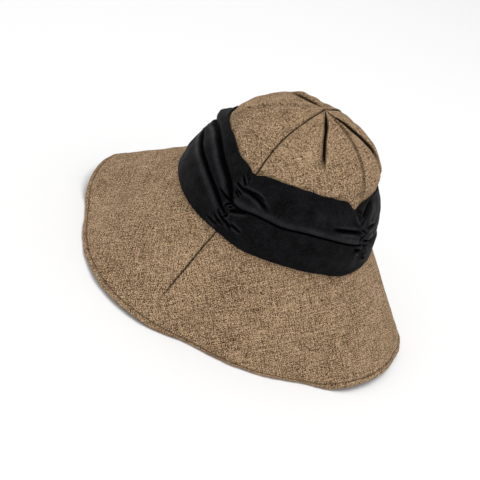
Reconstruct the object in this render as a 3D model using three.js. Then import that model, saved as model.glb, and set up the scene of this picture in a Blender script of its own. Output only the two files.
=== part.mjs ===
// A wide linen sun hat: a gathered crown, a gathered cloth band and a drooping brim.
// Millimetres. +Z is up, -Y is the wearer's front and +X the wearer's left.
// The hat stands on the lowest stretches of its brim, and the origin is on the floor
// at the middle of its footprint.
// Bearings are in degrees round the crown, from +X (left) towards +Y (back).
// Heights are measured from the level where the band's lower edge meets the brim.
import * as THREE from "three";

const HEAD_RATIO = 1.06; // the head opening's length over its width
const GAP = 0.3; // between pieces that are sewn together
const CROWN_WALL = 1.8;
const BRIM_WALL = 2;
const BAND_WALL = 1.6;
const SEAM_HEIGHT = 3; // where crown and brim are sewn, behind the band
const SEAM_RADIUS = 92.8;
const CROWN_LEAN = 1.6; // how far the crown leans towards the back
const LEAN_START = 10; // the heights between which it comes to lean
const LEAN_FULL = 70;
const FLOOR = -85.6; // the floor, where the brim's lowest stretches are pressed flat

// The crown's outer profile, from the top button of cloth down to the seam.
const CROWN_PROFILE = [
  { radius: 0, height: 109 },
  { radius: 12, height: 107.6 },
  { radius: 24, height: 104.6 },
  { radius: 41.5, height: 98 },
  { radius: 57, height: 88.3 },
  { radius: 67.5, height: 75 },
  { radius: 74.5, height: 58 },
  { radius: 82.5, height: 40 },
  { radius: 90, height: 20 },
  { radius: SEAM_RADIUS, height: SEAM_HEIGHT },
];

// The pleats that gather the crown to its top. Each runs down from the top for its
// reach. Its lip is the raised edge of cloth on the side of larger bearings, or on the
// other side where it is negative, and puff is how far the cloth swells before the
// next pleat.
const CROWN_PLEATS = [
  { bearing: 0, reach: 112, depth: 1.6, halfWidth: 2.6, lip: 0.5, puff: 1.4 },
  { bearing: 42, reach: 56, depth: 4.4, halfWidth: 3.6, lip: 1.2, puff: 1.4 },
  { bearing: 88, reach: 104, depth: 1.4, halfWidth: 4.5, lip: 0.3, puff: 0.6 },
  { bearing: 113, reach: 84, depth: 5.4, halfWidth: 4.2, lip: -1.8, puff: 1.8 },
  { bearing: 172, reach: 60, depth: 3.6, halfWidth: 3.6, lip: 0.8, puff: 1.8 },
  { bearing: 224, reach: 70, depth: 4.4, halfWidth: 4, lip: 0.8, puff: 1.8 },
  { bearing: 262, reach: 74, depth: 4.6, halfWidth: 4.2, lip: -1.2, puff: 1.2 },
  { bearing: 313, reach: 86, depth: 1.2, halfWidth: 4.5, lip: 0.6, puff: 1.2 },
];
const PLEAT_START = 10; // the pleats begin over this distance down from the top
const PLEAT_FADE = 30; // and end over this distance above their reach
const LIP_PLACE = 2; // half widths from a pleat's valley to its lip
const SWELL_FULL = 34; // the distance down at which the cloth swells fully
const SWELL_FADE = 66; // from here the band's upper edge holds the cloth in
const SWELL_END = 84;

// Every 15 degrees: the brim's droop below level and its width from the seam to the
// hem, and the height of the band's upper edge away from the gathers.
const ROUND = [
  { bearing: 0, droop: 53, width: 105, bandTop: 63 },
  { bearing: 15, droop: 61.5, width: 101, bandTop: 65 },
  { bearing: 30, droop: 62, width: 100.5, bandTop: 66.5 },
  { bearing: 45, droop: 61.5, width: 100.5, bandTop: 66.5 },
  { bearing: 60, droop: 62, width: 101.5, bandTop: 66.5 },
  { bearing: 75, droop: 51.5, width: 103.5, bandTop: 66 },
  { bearing: 90, droop: 50, width: 105, bandTop: 66 },
  { bearing: 105, droop: 50, width: 106, bandTop: 67.5 },
  { bearing: 120, droop: 52, width: 106.5, bandTop: 68.5 },
  { bearing: 135, droop: 59, width: 105.5, bandTop: 68.5 },
  { bearing: 150, droop: 56, width: 105, bandTop: 67.5 },
  { bearing: 165, droop: 57, width: 104.5, bandTop: 66 },
  { bearing: 180, droop: 57.5, width: 104.5, bandTop: 65 },
  { bearing: 195, droop: 57.5, width: 104.5, bandTop: 66 },
  { bearing: 210, droop: 58, width: 104.5, bandTop: 68 },
  { bearing: 225, droop: 57, width: 104, bandTop: 69 },
  { bearing: 240, droop: 50, width: 104.5, bandTop: 69.5 },
  { bearing: 255, droop: 43.5, width: 105, bandTop: 69.5 },
  { bearing: 270, droop: 40, width: 107, bandTop: 69.5 },
  { bearing: 285, droop: 44.5, width: 110, bandTop: 70 },
  { bearing: 300, droop: 54, width: 111, bandTop: 69.5 },
  { bearing: 315, droop: 53.5, width: 110, bandTop: 69 },
  { bearing: 330, droop: 51, width: 109.5, bandTop: 68 },
  { bearing: 345, droop: 50.5, width: 109, bandTop: 64.5 },
];

// The stitched gathers that draw the band together, each from the bearing at its upper
// edge to the bearing at its lower edge. notch is how far it pulls the upper edge down.
const GATHERS = [
  { top: 0, bottom: 1, notch: 6 },
  { top: 77, bottom: 88, notch: 7 },
  { top: 180, bottom: 180, notch: 6 },
  { top: 268, bottom: 270, notch: 7 },
];
const GATHER_HALF_WIDTH = 8;
const GATHER_PULL = 0.7; // the share of the band's swell that a gather takes away

// The long folds in the band, each a valley from one bearing to another through three
// heights, at its start, its middle and its end.
const BAND_FOLDS = [
  { from: 0, to: 88, heights: [29, 34, 28], depth: 3, halfWidth: 4 },
  { from: 1, to: 24, heights: [44, 46, 39], depth: 2, halfWidth: 3.5 },
  { from: 58, to: 86, heights: [42, 43, 36], depth: 1.8, halfWidth: 3.5 },
  { from: 90, to: 178, heights: [32, 41, 34], depth: 3, halfWidth: 4.5 },
  { from: 128, to: 180, heights: [18, 21, 24], depth: 2.2, halfWidth: 4 },
  { from: 182, to: 268, heights: [28, 33, 40], depth: 3, halfWidth: 4.5 },
  { from: 184, to: 250, heights: [46, 54, 57], depth: 2.6, halfWidth: 4 },
  { from: 272, to: 358, heights: [44, 38, 26], depth: 3.2, halfWidth: 4.5 },
  { from: 276, to: 358, heights: [47, 55, 40], depth: 3, halfWidth: 4 },
];
const FOLD_END = 7; // degrees over which a fold fades out at either end
const BAND_SWELL = 3.4; // how far the band stands proud between its edges
const SWELL_ROUNDNESS = 0.7; // under 1 the swell is flatter than a half wave
const BAND_FLARE = 1.6; // how far its lower edge turns out over the brim
const FLARE_SHARE = 0.14; // of the band's height, from its lower edge
const EDGE_LIFT = 0.5; // of the lower edge, above the brim under it

// The meshes' fineness.
const CROWN_STEP = 6;
const PLEAT_STATIONS = [-3.4, 0, 3.4]; // bearings across each pleat, from its own
const CLOSEST_STATIONS = 2;
const BRIM_STEP = 5;
const BAND_STEP = 4.5;
const CROWN_LEVELS = [0, 7, 16, 28, 41, 54, 67, 80, 94, 108, 122, 138]; // and the seam
const BRIM_LEVELS = [0, 0.25, 0.5, 0.75, 1];
const BAND_LEVELS = [0, 0.1, 0.22, 0.34, 0.45, 0.56, 0.68, 0.8, 0.91, 1];
const PROFILE_STEPS = 20; // for each row of the crown's profile

const LINEN_COLOUR = new THREE.Color(0x91785e);
const BAND_COLOUR = new THREE.Color(0x171718);
const LINEN_ROUGHNESS = 0.95;
const BAND_ROUGHNESS = 0.8;

const { clamp, degToRad, euclideanModulo, lerp, smoothstep } = THREE.MathUtils;
const HALF_TURN = 180;
const FULL_TURN = 360;

// The signed turn from one bearing to another, from -180 to 180 degrees.
function turnBetween(from, to) {
  return euclideanModulo(to - from + HALF_TURN, FULL_TURN) - HALF_TURN;
}

// A smooth value through four neighbouring values, share of the way from b to c.
function catmullRom(a, b, c, d, share) {
  const slopeB = (c - a) / 2;
  const slopeC = (d - b) / 2;
  const square = share * share;
  const cube = square * share;
  return (
    b * (2 * cube - 3 * square + 1) +
    slopeB * (cube - 2 * square + share) +
    c * (3 * square - 2 * cube) +
    slopeC * (cube - square)
  );
}

// One column of the table round the hat, at any bearing.
function round(column, bearing) {
  const place = euclideanModulo(bearing, FULL_TURN) / (FULL_TURN / ROUND.length);
  const row = Math.floor(place);
  const value = (step) => ROUND[euclideanModulo(row + step, ROUND.length)][column];
  return catmullRom(value(-1), value(0), value(1), value(2), place - row);
}

// One column of the crown's profile, at a place counted in rows.
function profile(column, place) {
  const last = CROWN_PROFILE.length - 1;
  const row = clamp(Math.floor(place), 0, last - 1);
  const value = (index) => CROWN_PROFILE[clamp(index, 0, last)][column];
  const before = row === 0 ? 2 * value(0) - value(1) : value(row - 1);
  return catmullRom(before, value(row), value(row + 1), value(row + 2), place - row);
}

// The profile walked in small steps, to find a place by its distance down the cloth.
const profileWalk = [{ down: 0, radius: 0, height: profile("height", 0) }];
for (let step = 1; step <= PROFILE_STEPS * (CROWN_PROFILE.length - 1); step += 1) {
  const place = step / PROFILE_STEPS;
  const radius = profile("radius", place);
  const height = profile("height", place);
  const last = profileWalk[profileWalk.length - 1];
  const down = last.down + Math.hypot(radius - last.radius, height - last.height);
  profileWalk.push({ down, radius, height });
}
const seamDown = profileWalk[profileWalk.length - 1].down;

// The profile's point and outward slope where column has reached the given value.
function profileWhere(column, value) {
  const passed = profileWalk.findIndex((point) =>
    column === "height" ? point.height <= value : point.down >= value,
  );
  const next = passed === -1 ? profileWalk.length - 1 : Math.max(passed, 1);
  const a = profileWalk[next - 1];
  const b = profileWalk[next];
  const share = clamp((value - a[column]) / (b[column] - a[column]), 0, 1);
  const slope = Math.hypot(b.radius - a.radius, b.height - a.height);
  return {
    down: lerp(a.down, b.down, share),
    radius: lerp(a.radius, b.radius, share),
    height: lerp(a.height, b.height, share),
    outward: (a.height - b.height) / slope,
    upward: (b.radius - a.radius) / slope,
  };
}

// A point of the oval at a mean radius, moved out of it in plan and set at a height.
function ovalPoint(bearing, radius, outward, height) {
  const angle = degToRad(bearing);
  const across = 2 / (1 + HEAD_RATIO);
  const along = across * HEAD_RATIO;
  const normal = new THREE.Vector2(Math.cos(angle) / across, Math.sin(angle) / along);
  normal.normalize().multiplyScalar(outward);
  const lean = CROWN_LEAN * smoothstep(height, LEAN_START, LEAN_FULL);
  return new THREE.Vector3(
    across * radius * Math.cos(angle) + normal.x,
    along * radius * Math.sin(angle) + normal.y + lean,
    height,
  );
}

function hollow(distance, halfWidth) {
  return Math.exp(-((distance / halfWidth) ** 2));
}

// The share of the way from the pleat before a bearing to the pleat after it, and
// the first one's swell.
function swellBetweenPleats(bearing) {
  const turns = CROWN_PLEATS.map((pleat) =>
    euclideanModulo(bearing - pleat.bearing, FULL_TURN),
  );
  const nearest = turns.indexOf(Math.min(...turns));
  const pleat = CROWN_PLEATS[nearest];
  const next = CROWN_PLEATS[(nearest + 1) % CROWN_PLEATS.length];
  const span = euclideanModulo(next.bearing - pleat.bearing, FULL_TURN);
  return pleat.puff * Math.sin((Math.PI * turns[nearest]) / span) ** 2;
}

// How far the crown stands out of its plain profile, at a distance down from the top.
function crownRelief(bearing, down, radius) {
  const free = 1 - smoothstep(down, SWELL_FADE, SWELL_END);
  let relief = swellBetweenPleats(bearing) * smoothstep(down, 0, SWELL_FULL) * free;
  for (const pleat of CROWN_PLEATS) {
    const across = radius * degToRad(turnBetween(pleat.bearing, bearing));
    const side = Math.sign(pleat.lip) * LIP_PLACE * pleat.halfWidth;
    const strength =
      smoothstep(down, 0, PLEAT_START) *
      (1 - smoothstep(down, pleat.reach - PLEAT_FADE, pleat.reach));
    const valley = pleat.depth * hollow(across, pleat.halfWidth);
    const lip = Math.abs(pleat.lip) * free * hollow(across - side, pleat.halfWidth);
    relief += strength * (lip - valley);
  }
  return relief;
}

function crownPoint(bearing, down, inward) {
  const base = profileWhere("down", down);
  const out = crownRelief(bearing, down, base.radius) - inward;
  return ovalPoint(
    bearing,
    base.radius,
    out * base.outward,
    base.height + out * base.upward,
  );
}

// A point of the brim, at a share of its width from the seam, on its upper face or
// under it. What would reach below the floor is pressed flat there.
function brimPoint(bearing, share, under) {
  const droop = degToRad(round("droop", bearing));
  const width = share * round("width", bearing);
  const outward = width * Math.cos(droop) - under * Math.sin(droop);
  const drop = width * Math.sin(droop) + under * Math.cos(droop);
  const height = Math.max(SEAM_HEIGHT - GAP - drop, FLOOR);
  return ovalPoint(bearing, SEAM_RADIUS, outward, height);
}

// How close a bearing is to the nearest gather at a share of the band's height, from
// 1 on the gather to 0 away from it.
function gatherPull(bearing, share) {
  const pulls = GATHERS.map((gather) => {
    const centre = gather.bottom + turnBetween(gather.bottom, gather.top) * share;
    const across = SEAM_RADIUS * degToRad(turnBetween(centre, bearing));
    return hollow(across, GATHER_HALF_WIDTH);
  });
  return Math.max(...pulls);
}

function bandTopHeight(bearing) {
  let height = round("bandTop", bearing);
  for (const gather of GATHERS) {
    const across = SEAM_RADIUS * degToRad(turnBetween(gather.top, bearing));
    height -= gather.notch * hollow(across, GATHER_HALF_WIDTH);
  }
  return height;
}

function bandBottomHeight(bearing) {
  const droop = degToRad(round("droop", bearing));
  return SEAM_HEIGHT - BAND_FLARE * Math.tan(droop) + EDGE_LIFT;
}

// How deep the long folds are at a bearing and a height.
function bandFoldDepth(bearing, height) {
  let depth = 0;
  for (const fold of BAND_FOLDS) {
    const span = fold.to - fold.from;
    const along = euclideanModulo(bearing - fold.from, FULL_TURN);
    if (along > span) continue;
    const share = along / span;
    const [start, middle, end] = fold.heights;
    const centre =
      share < 0.5
        ? lerp(start, middle, smoothstep(share, 0, 0.5))
        : lerp(middle, end, smoothstep(share, 0.5, 1));
    const ends = smoothstep(Math.min(along, span - along), 0, FOLD_END);
    depth += fold.depth * ends * hollow(height - centre, fold.halfWidth);
  }
  return depth;
}

function bandPoint(bearing, share, inward) {
  const bottom = bandBottomHeight(bearing);
  const height = lerp(bottom, bandTopHeight(bearing), share);
  const base = profileWhere("height", Math.max(height, SEAM_HEIGHT));
  const full = Math.sin(Math.PI * lerp(FLARE_SHARE, 1, share)) ** SWELL_ROUNDNESS;
  const swell = BAND_SWELL * full * (1 - GATHER_PULL * gatherPull(bearing, share));
  const relief = Math.max(swell - bandFoldDepth(bearing, height), 0);
  const flare = BAND_FLARE * (1 - smoothstep(share, 0, FLARE_SHARE));
  const out = GAP + BAND_WALL + Math.max(relief, flare) - inward;
  return ovalPoint(bearing, base.radius, out * base.outward, height + out * base.upward);
}

// A cloth wall between an outer and an inner surface, each given by a function of a
// bearing and a level. Its bearings may go once round, and its levels may start at a
// single point.
function clothWall(outer, inner, bearings, levels, { closed = false, pointed = false }) {
  const positions = [];
  const faces = [];
  const columns = bearings.length;
  const addPoint = (point) => positions.push(...point.toArray()) / 3 - 1;
  const addSurface = (surface) =>
    levels.map((level, row) => {
      if (row === 0 && pointed) {
        return new Array(columns).fill(addPoint(surface(bearings[0], level)));
      }
      return bearings.map((bearing) => addPoint(surface(bearing, level)));
    });
  const addQuad = (a, b, c, d) => {
    if (a !== b && b !== c) faces.push(a, b, c);
    if (a !== d && c !== d) faces.push(a, c, d);
  };
  const out = addSurface(outer);
  const back = addSurface(inner);
  const lastRow = levels.length - 1;
  const lastColumn = closed ? columns : columns - 1;
  for (let column = 0; column < lastColumn; column += 1) {
    const next = (column + 1) % columns;
    for (let row = 0; row < lastRow; row += 1) {
      addQuad(out[row][column], out[row + 1][column], out[row + 1][next], out[row][next]);
      addQuad(back[row][column], back[row][next], back[row + 1][next], back[row + 1][column]);
    }
    addQuad(out[lastRow][next], out[lastRow][column], back[lastRow][column], back[lastRow][next]);
    if (!pointed) addQuad(out[0][column], out[0][next], back[0][next], back[0][column]);
  }
  for (let row = 0; row < lastRow && !closed; row += 1) {
    const end = columns - 1;
    addQuad(out[row + 1][0], out[row][0], back[row][0], back[row + 1][0]);
    addQuad(out[row][end], out[row + 1][end], back[row + 1][end], back[row][end]);
  }
  const geometry = new THREE.BufferGeometry();
  geometry.setAttribute("position", new THREE.Float32BufferAttribute(positions, 3));
  geometry.setIndex(faces);
  geometry.computeVertexNormals();
  return geometry;
}

function bearingsFrom(start, end, step) {
  const count = Math.round((end - start) / step);
  return Array.from({ length: count + 1 }, (_, index) => start + (index * (end - start)) / count);
}

// The crown's bearings over one half: an even step, and stations across each pleat.
function crownBearings(start) {
  const even = bearingsFrom(start, start + HALF_TURN, CROWN_STEP);
  const pleated = CROWN_PLEATS.flatMap((pleat) =>
    PLEAT_STATIONS.map((station) => pleat.bearing + station),
  ).filter((bearing) => bearing > start && bearing < start + HALF_TURN);
  const isFree = (bearing) =>
    [start, ...pleated, start + HALF_TURN].every(
      (other) => Math.abs(bearing - other) > CLOSEST_STATIONS,
    );
  const kept = even.slice(1, -1).filter(isFree);
  return [start, ...kept, ...pleated, start + HALF_TURN].sort((a, b) => a - b);
}

function linen() {
  return new THREE.MeshStandardMaterial({
    color: LINEN_COLOUR,
    roughness: LINEN_ROUGHNESS,
    metalness: 0,
  });
}

function blackCloth() {
  return new THREE.MeshStandardMaterial({
    color: BAND_COLOUR,
    roughness: BAND_ROUGHNESS,
    metalness: 0,
  });
}

// Crown and brim are each sewn from a back and a front half, with seams at the sides.
const HALVES = [
  { name: "back", start: 0, side: 1 },
  { name: "front", start: HALF_TURN, side: -1 },
];

function crownHalf(half) {
  const geometry = clothWall(
    (bearing, down) => crownPoint(bearing, down, 0),
    (bearing, down) => crownPoint(bearing, down, CROWN_WALL),
    crownBearings(half.start),
    [...CROWN_LEVELS, seamDown],
    { pointed: true },
  );
  const mesh = new THREE.Mesh(geometry, linen());
  mesh.name = `crown_${half.name}`;
  mesh.position.y = (half.side * GAP) / 2;
  return mesh;
}

function brimHalf(half) {
  const geometry = clothWall(
    (bearing, share) => brimPoint(bearing, share, 0),
    (bearing, share) => brimPoint(bearing, share, BRIM_WALL),
    bearingsFrom(half.start, half.start + HALF_TURN, BRIM_STEP),
    BRIM_LEVELS,
    {},
  );
  const mesh = new THREE.Mesh(geometry, linen());
  mesh.name = `brim_${half.name}`;
  mesh.position.y = (half.side * GAP) / 2;
  return mesh;
}

function band() {
  const bearings = bearingsFrom(0, FULL_TURN, BAND_STEP).slice(0, -1);
  const geometry = clothWall(
    (bearing, share) => bandPoint(bearing, 1 - share, 0),
    (bearing, share) => bandPoint(bearing, 1 - share, BAND_WALL),
    bearings,
    BAND_LEVELS,
    { closed: true },
  );
  const mesh = new THREE.Mesh(geometry, blackCloth());
  mesh.name = "band";
  return mesh;
}

const hat = new THREE.Group();
for (const half of HALVES) {
  hat.add(crownHalf(half));
  hat.add(brimHalf(half));
}
hat.add(band());

// Stands the hat on the floor, with the middle of its footprint at the origin.
const footprint = new THREE.Box3().setFromObject(hat);
const middle = footprint.getCenter(new THREE.Vector3());
for (const piece of hat.children) {
  piece.position.x -= middle.x;
  piece.position.y -= middle.y;
  piece.position.z -= footprint.min.z;
}

export default hat;
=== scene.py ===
# A wide linen sun hat with a gathered black cloth band, standing on its drooping brim.
# The shapes are worked out in millimetres from the crown's axis. Bearings are in degrees
# round the crown, from +X (the wearer's left) towards +Y (the back). Heights are measured
# from the level where the band's lower edge meets the brim.
from collections import namedtuple
from math import cos, radians, sin

import bpy
import numpy as np
from mathutils import Matrix, Vector


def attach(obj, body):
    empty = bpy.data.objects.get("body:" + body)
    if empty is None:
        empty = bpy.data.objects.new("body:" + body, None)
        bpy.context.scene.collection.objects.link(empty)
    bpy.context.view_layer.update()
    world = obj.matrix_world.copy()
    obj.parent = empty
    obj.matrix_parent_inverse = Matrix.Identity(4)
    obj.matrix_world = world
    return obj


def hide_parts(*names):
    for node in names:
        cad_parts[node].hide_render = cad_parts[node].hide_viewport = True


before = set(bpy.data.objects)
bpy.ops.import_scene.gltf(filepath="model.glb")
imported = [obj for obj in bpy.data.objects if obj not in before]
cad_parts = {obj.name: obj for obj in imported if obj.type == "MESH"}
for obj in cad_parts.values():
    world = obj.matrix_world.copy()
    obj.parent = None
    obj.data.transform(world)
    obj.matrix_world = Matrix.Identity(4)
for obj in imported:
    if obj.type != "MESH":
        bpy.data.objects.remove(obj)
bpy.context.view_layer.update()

MM = 0.001
HALF_TURN = 180
FULL_TURN = 360

# The floor's height, the place in the frame that all shapes are measured from, and the
# main sizes.
FLOOR = -85.6
HAT_PLACE = (-4.82, 7.24, -FLOOR)
HEAD_RATIO = 1.06
CROWN_WALL = 1.8
BRIM_WALL = 2
BAND_WALL = 1.6
GAP = 0.3
SEAM_HEIGHT = 3
SEAM_RADIUS = 92.8
CROWN_LEAN = 1.6
LEAN_START = 10
LEAN_FULL = 70

# The crown's outer profile, from the top down to the seam.
Ring = namedtuple("Ring", "radius height")
CROWN_PROFILE = [
    Ring(0, 109),
    Ring(12, 107.6),
    Ring(24, 104.6),
    Ring(41.5, 98),
    Ring(57, 88.3),
    Ring(67.5, 75),
    Ring(74.5, 58),
    Ring(82.5, 40),
    Ring(90, 20),
    Ring(SEAM_RADIUS, SEAM_HEIGHT),
]

# Every 15 degrees: the brim's droop below level and its width from the seam to the
# hem, the height of the band's upper edge away from the gathers, how far the band
# swells out, how far its lower edge reaches out over the brim, how far its upper edge
# presses in the crown, and how far the crown swells out just above it.
Round = namedtuple("Round", "bearing droop width band_top swell flare waist shoulder")
ROUND = [
    Round(0, 53, 106.5, 61, 3, 2.8, 0, 0),
    Round(15, 61.5, 102.5, 63.5, 3, 3, 0, 0),
    Round(30, 62, 103, 66, 3, 2, 0, 0),
    Round(45, 61.3, 104.5, 66.5, 3, 1.6, 0, 0),
    Round(60, 61, 107, 65.5, 3, 1.8, 0, 0),
    Round(75, 52.2, 106, 64, 2.6, 3.6, 0, 0),
    Round(90, 50, 106.5, 64.5, 2.2, 2.6, 0.4, 0.4),
    Round(105, 50, 108, 65, 1.4, 1.4, 1, 1.2),
    Round(120, 50.3, 111, 59, 1.2, 1.4, 1.4, 1.6),
    Round(135, 53.5, 113.5, 61.5, 1.4, 1.4, 1.4, 1.6),
    Round(150, 55, 107, 65, 2.2, 1.6, 0.6, 1),
    Round(165, 57, 104.5, 66, 2.8, 1.6, 0, 0),
    Round(180, 57.5, 104.5, 65, 3, 1.6, 0, 0),
    Round(195, 57.5, 104.5, 66, 3, 1.6, 0, 0),
    Round(210, 58, 104.5, 68, 3, 1.6, 0, 0),
    Round(225, 57, 104, 69, 3, 1.6, 0, 0),
    Round(240, 50, 104.5, 69.5, 3, 1.6, 0, 0),
    Round(255, 43.5, 105.5, 69.5, 2.8, 1.6, 0, 0),
    Round(270, 40, 112.5, 65, 2.4, 1.6, 0, 1),
    Round(285, 44.5, 111, 64, 2, 1.6, 0, 2),
    Round(300, 54, 112, 66, 1.6, 1.6, 0, 2),
    Round(315, 53.5, 110.5, 66.5, 2.6, 1.6, 0, 1),
    Round(330, 51, 110, 66, 3, 2.4, 0, 0),
    Round(345, 50.5, 110, 60.5, 3, 3, 0, 0),
]

# The pleats that gather the crown to its top. Each runs down from the top bearing, has
# come round to the low one after settle, and ends at its reach. Its valley is soft on
# one side and crisp on the other, where the cloth rises above the crown's plain shape,
# sinks back to it over the spread, and laps over the valley. Puff is the swell of the
# cloth between it and the next pleat. Dark is how dark the shade painted in its valley
# is, how far that reaches on the soft and on the crisp side, and how far down it has gone.
Pleat = namedtuple(
    "Pleat",
    "top low settle start reach depth before after rise spread lap puff"
    " dark soft_dark crisp_dark dark_end",
)
CROWN_PLEATS = [
    Pleat(0, 0, 20, 0, 60, 0.5, 2.5, 2.4, 0.2, 4, 0, 0.8, 0.3, 1, 1, 60),
    Pleat(56, 43.5, 40, 0, 67, 6.5, 3.4, 0.8, 0.9, 7, 1.1, 0.8, 1, 1.1, 0.6, 72),
    Pleat(96, 84, 90, 3, 94, 1.4, 3.5, 0.9, 0.8, 7, 0, 0.3, 0.4, 2.2, 0.8, 96),
    Pleat(107, 124, 70, 1, 92, 6, 0.9, 0.8, 2.4, 16, 0.5, 0.8, 1, 0.9, 0.8, 74),
    Pleat(152, 162, 40, 28, 96, 2.4, 3, 4, 0, 4, 0, -0.2, 0.2, 3, 3, 96),
    Pleat(180, 183, 20, 3, 58, 4, 1.6, 0.8, 0.2, 8, 0.4, -0.2, 0.9, 0.9, 0.8, 50),
    Pleat(206, 206, 20, 6, 76, 1.4, 5, 5.2, 0, 4, 0, 0.4, 0.3, 3, 3, 76),
    Pleat(222, 246, 22, 1, 56, 2.2, 0.8, 4.5, 1.6, 12, 0.5, -1.8, 0.9, 0.9, 0.35, 52),
    Pleat(300, 308, 30, 8, 88, 1.2, 2, 3.4, 0.5, 7, 0, 0.8, 0.2, 3, 2, 88),
]

# How far below its start a pleat, the cloth raised beside it and its painted shade are in
# full, how far above its reach it starts to fade, and how it narrows towards the crown's top.
PLEAT_BEGINS = 10
RISE_BEGINS = 22
DARK_BEGINS = 3
PLEAT_FADE = 18
PLEAT_FULL_RADIUS = 16
PLEAT_NARROWEST = 0.4

# How far below the top the spread beside a pleat and the swell between two are in full.
SPREAD_FULL = 45
SWELL_FULL = 30

# How a pleat's painted shade fades and widens at its low end, and where it stops on the
# crisp side, in times its reach there.
DARK_FADES = 22
DARK_WIDENS = 8
WALL_SHADE = (1.2, 1.9)

# How the cloth on a valley's crisp side rises and laps over it.
LAP_RISE = 1.4
LAP_SETTLES = 2.6
LAP_CLEAR = 6

# The raised point at the top, and how far round its upper edge the band holds the crown.
TOP_RAISED = 1.2
TOP_RAISED_WIDTH = 5
BAND_HOLD = (-1, 6)

# The side seams that join the halves of crown and brim, and the shade painted along them.
SEAM_DEPTH = 2
SEAM_ROLL = 0.65
SEAM_LAP = 0.9
SEAM_SHADE_WIDTH = 1.3
SEAM_RIDGE = 0.3
SEAM_RIDGE_PLACE = 3.2
SEAM_RIDGE_WIDTH = 2
BRIM_SEAM_SHARE = 0.42
BRIM_SEAM_SHADE_WIDTH = 0.9
BRIM_SEAM_FADES = (0.55, 0.85)

# The hem along the brim's edge, and the shade painted in its groove.
HEM_WIDTH = 5
HEM_THICKNESS = 0.35
HEM_STEP = 0.5
HEM_GROOVE = 0.7
HEM_GROOVE_WIDTH = 0.7
HEM_SHADE = 0.55
PUCKER_HEIGHT = 0.16
PUCKERS_ROUND = 96

# The stitches along the hem, a row on each face of the brim.
STITCH_PITCH = 3.4
STITCH_LENGTH = 2.5
STITCH_RADIUS = 0.3
STITCH_RISE = 0.45
STITCH_SUNK = 0.25
STITCH_STEPS = 4
STITCH_SIDES = 6

# The cloths' own unevenness, as soft waves with lengths drawn between two limits. The
# drift shifts the puckers' wave, in radians. Last, where the unevenness sets in: in
# millimetres below the crown's top, and in shares of the brim's width.
Waves = namedtuple("Waves", "seed height shortest longest")
CROWN_WAVES = Waves(3, 0.55, 18, 60)
BRIM_WAVES = Waves(5, 0.8, 55, 160)
BRIM_RUMPLES = Waves(12, 0.28, 12, 36)
BAND_WAVES = Waves(7, 0.35, 12, 45)
BAND_EDGE_WAVES = Waves(15, 0.4, 12, 30)
PUCKER_DRIFT = Waves(8, 3, 40, 120)
WAVES_TOGETHER = 14
CROWN_WAVES_BEGIN = (8, 40)
BRIM_WAVES_BEGIN = (0.03, 0.25)

# The stitched gathers that draw the band together, from the bearing at its upper edge
# to the bearing at its lower edge. notch is how far each pulls the upper edge down, and
# line is the depth of the groove along it.
Gather = namedtuple("Gather", "top bottom notch line")
GATHERS = [
    Gather(0, 1, 4.5, 0),
    Gather(76, 88, 6.5, 0.5),
    Gather(180, 180, 6, 2),
    Gather(268, 270, 6, 2),
]
GATHER_HALF_WIDTH = 8
GATHER_PULL = 0.4
GATHER_LINE_WIDTH = 1.4

# The long folds in the band: a valley from one bearing to another, through heights that
# are evenly spaced along it, with the cloth above it lapped down on it. rolls says how
# far that cloth rolls out, at the start and at the end, and at what height above. The
# cloth on the narrower side, above or below, laps over the valley.
Fold = namedtuple("Fold", "start end heights depth above below rolls place lap")
BAND_FOLDS = [
    Fold(347, 448, (32, 28.5, 31.5, 32, 34, 33, 29.5, 25.5), 5.5, 1, 1.3, (1.2, 1.2), 4, 1.7),
    Fold(91, 130, (26.5, 25.5, 24, 22), 5, 1.2, 4, (0, 0), 4, 1),
    Fold(98, 178, (30, 36, 41, 40, 37, 34), 4, 1, 3.4, (1, 1), 4, 1.4),
    Fold(112, 180, (13, 16, 19, 22, 24), 4, 1.2, 3.4, (0.4, 0.8), 4, 1.1),
    Fold(182, 268, (28, 31, 33, 36, 39, 40), 4, 1, 3.8, (1, 1), 4, 1.4),
    Fold(184, 250, (46, 51, 55, 57), 3.2, 1.1, 3.4, (0.9, 0.9), 4, 1.2),
    Fold(262, 362, (30, 31.5, 34, 34.5, 33, 27, 16.5), 6.5, 2.8, 1.1, (0.6, 0.8), 6, 1),
    Fold(262, 362, (37, 38.5, 45, 52, 52.5, 47.5, 40, 29), 7.5, 4.4, 1.2, (7, 0.8), 10, 1),
]

# In how many degrees from its ends a fold comes in and widens, how narrow it starts,
# where beside its valley the painted shade lies and how wide, and how wide the cloth rolls out.
FOLD_END = 7
FOLD_TAPER = 10
FOLD_NARROW = 0.3
FOLD_SHADE_PLACE = 1 / 3
FOLD_SHADE_SHARE = 2.2
ROLL_SHARE = 0.75

# The band's plain shape: its swell, the flare of its lower edge, how it presses on the
# crown, and the waist and the shoulder of the crown at its upper edge.
SWELL_ROUNDNESS = 0.6
FLARE_SHARE = 0.14
BAND_PRESS = 2.4
PRESS_SHARE = 0.15
PRESS_SOFTNESS = 0.5
WAIST_WIDTH = 7
SHOULDER_PLACE = 12
SHOULDER_WIDTH = 8
EDGE_LIFT = 0.5
# How soon the painted shade and highlight come in from the band's edges.
EDGE_SHADE = 3
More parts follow.
